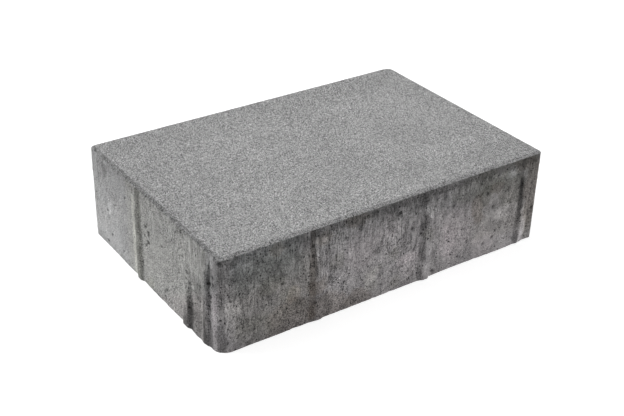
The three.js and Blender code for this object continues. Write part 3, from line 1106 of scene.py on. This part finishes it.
def concrete():
    """The one material: a grainy wearing face, streaked and pitted sides with the pores painted dark as
    shade, and the stains and painted shade and light that the points carry.
    """
    material = bpy.data.materials.new("concrete")
    recipe = Recipe(material)
    shader = recipe.tree.nodes["Principled BSDF"]
    recipe.connect(shader, {"Roughness": 0.88, "Specular IOR Level": 0.3})
    metres = recipe.add("ShaderNodeTexCoord", {}).outputs["Object"]
    place = recipe.stretched(metres, (1000.0, 1000.0, 1000.0))
    wearing = recipe.carried("wearing")["Fac"]
    stain_and_shade = recipe.carried("stain_and_shade")

    coarse = recipe.noise(place, size=2.2, detail=1.0)
    sand = specks(recipe, place, 0.42)
    dust = specks(recipe, place, 0.3)
    top_grain = recipe.weighted((dust, 2.9), (coarse, 0.15), (sand, 2.1))

    side_fine = recipe.noise(recipe.stretched(place, (1.0, 1.0, 0.8)), size=0.72, roughness=0.6)
    side_streak = recipe.noise(recipe.stretched(place, (1.0, 1.0, 0.09)), size=0.8, detail=1.0)
    side_streak = recipe.math("MULTIPLY", side_streak, recipe.carried("drawn")["Fac"])
    side_grain = recipe.weighted((side_fine, 3.1), (side_streak, 1.6), (coarse, 0.5))

    small = round_spots(recipe, place, *SMALL_HOLES)
    large = round_spots(recipe, place, *LARGE_HOLES)
    on_side = recipe.math("MULTIPLY", recipe.math("SUBTRACT", 1.0, wearing), stain_and_shade["Alpha"])
    hole = recipe.math("MULTIPLY", recipe.math("MAXIMUM", small, large), on_side)

    grain = recipe.blend(wearing, side_grain, top_grain)
    grain = recipe.math("MULTIPLY", grain, stain_and_shade["Alpha"])
    pale = recipe.math("MULTIPLY", round_spots(recipe, place, *PALE_SPOTS), on_side)
    # The holes are painted almost black, as painted shade in the pores; the pale spots are lighter
    # grains.
    tone = recipe.weighted((grain, 1.0), (pale, 0.22), (hole, -1.05), (1.0, 1.0))
    tone = recipe.math("MAXIMUM", tone, 0.05)
    base = recipe.blend_colours(wearing, grey(SIDE_GREY), grey(WEARING_GREY))
    coloured = recipe.blend_colours(1.0, base, stain_and_shade["Color"], "MULTIPLY")
    final = recipe.add("ShaderNodeVectorMath", {0: coloured, 3: tone}, operation="SCALE").outputs[0]
    height = recipe.weighted((grain, BUMP_OF_GRAIN), (hole, BUMP_OF_HOLES))
    bump = recipe.add("ShaderNodeBump", {"Height": height, "Distance": MM, "Strength": 1.0})
    recipe.connect(shader, {"Base Color": final, "Normal": bump.outputs[0]})
    return material


stone = make_stone()
stone.data.materials.append(concrete())

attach(stone, "root")
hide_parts(NODE)


# ---------------------------------------------------------------- camera, light and floor

# The photo's camera, solved from the stone's straight edges. Its place is in mm.
CAMERA_PLACE = Vector((-460.09, -641.69, 484.26)) * MM
CAMERA_FORWARD = Vector((0.50092, 0.70441, -0.50288))
CAMERA_RIGHT = Vector((0.82258, -0.56816, 0.02353))
FOCAL_PIXELS = 1125.63
FRAME_WIDTH_PIXELS = 624
SENSOR_WIDTH = 36.0

# How bright the surroundings light the stone, how grey the floor is to the light, how much it
# glows to be seen white, and how far it reaches each way, in metres.
SKY_STRENGTH = 0.38
FLOOR_GREY = 0.62
FLOOR_GLOW = 0.68
FLOOR_REACH = 6.0


def make_camera():
    """The photo's camera."""
    data = bpy.data.cameras.new("camera")
    data.sensor_width = SENSOR_WIDTH
    data.lens = FOCAL_PIXELS * SENSOR_WIDTH / FRAME_WIDTH_PIXELS
    camera = linked("camera", data)
    forward = CAMERA_FORWARD.normalized()
    right = (CAMERA_RIGHT - CAMERA_RIGHT.dot(forward) * forward).normalized()
    up = right.cross(forward)
    rotation = Matrix((right, up, -forward)).transposed()
    camera.matrix_world = Matrix.Translation(CAMERA_PLACE) @ rotation.to_4x4()
    bpy.context.scene.camera = camera


def soft_light(name, towards, angle, strength):
    """An even, soft light from far off in that direction."""
    data = bpy.data.lights.new(name, "SUN")
    data.angle = math.radians(angle)
    data.energy = strength
    light = linked(name, data)
    light.rotation_mode = "QUATERNION"
    light.rotation_quaternion = Vector(towards).to_track_quat("Z", "Y")


def seen_directly(recipe):
    """1 for the camera's rays and for those that mirror or pass through, 0 for the rest."""
    rays = recipe.add("ShaderNodeLightPath", {}).outputs
    seen = recipe.math("MAXIMUM", rays["Is Camera Ray"], rays["Is Glossy Ray"])
    return recipe.math("MAXIMUM", seen, rays["Is Transmission Ray"])


def make_light():
    """Three soft lights and a white surrounding that lights less than it shows."""
    soft_light("key", towards=(-0.60, 0.60, 0.52), angle=35, strength=1.75)
    soft_light("above", towards=(0.0, 0.0, 1.0), angle=50, strength=0.55)
    soft_light("fill", towards=(0.84, -0.50, 0.30), angle=35, strength=0.85)
    world = bpy.data.worlds.new("world")
    bpy.context.scene.world = world
    recipe = Recipe(world)
    dim = recipe.tree.nodes["Background"]
    recipe.connect(dim, {"Color": WHITE, "Strength": SKY_STRENGTH})
    white = recipe.add("ShaderNodeBackground", {"Color": WHITE, "Strength": 1.0})
    shaders = {0: seen_directly(recipe), 1: dim.outputs[0], 2: white.outputs[0]}
    mix = recipe.add("ShaderNodeMixShader", shaders)
    recipe.connect(recipe.tree.nodes["World Output"], {"Surface": mix.outputs[0]})


def make_floor():
    """A wide white floor that keeps a faint shadow round the stone."""
    signs = ((-1, -1), (1, -1), (1, 1), (-1, 1))
    mesh = bpy.data.meshes.new("floor")
    corners = [(x * FLOOR_REACH, y * FLOOR_REACH, 0) for x, y in signs]
    mesh.from_pydata(corners, [], [(0, 1, 2, 3)])
    floor = linked("floor", mesh)
    material = bpy.data.materials.new("white_floor")
    recipe = Recipe(material)
    shader = recipe.tree.nodes["Principled BSDF"]
    recipe.connect(shader, {"Base Color": grey(FLOOR_GREY), "Roughness": 1.0})
    glow = recipe.math("MULTIPLY", seen_directly(recipe), FLOOR_GLOW)
    recipe.connect(shader, {"Specular IOR Level": 0.0, "Emission Color": WHITE})
    recipe.connect(shader, {"Emission Strength": glow})
    mesh.materials.append(material)


make_camera()
make_light()
make_floor()

bpy.context.scene.view_settings.view_transform = "Standard"
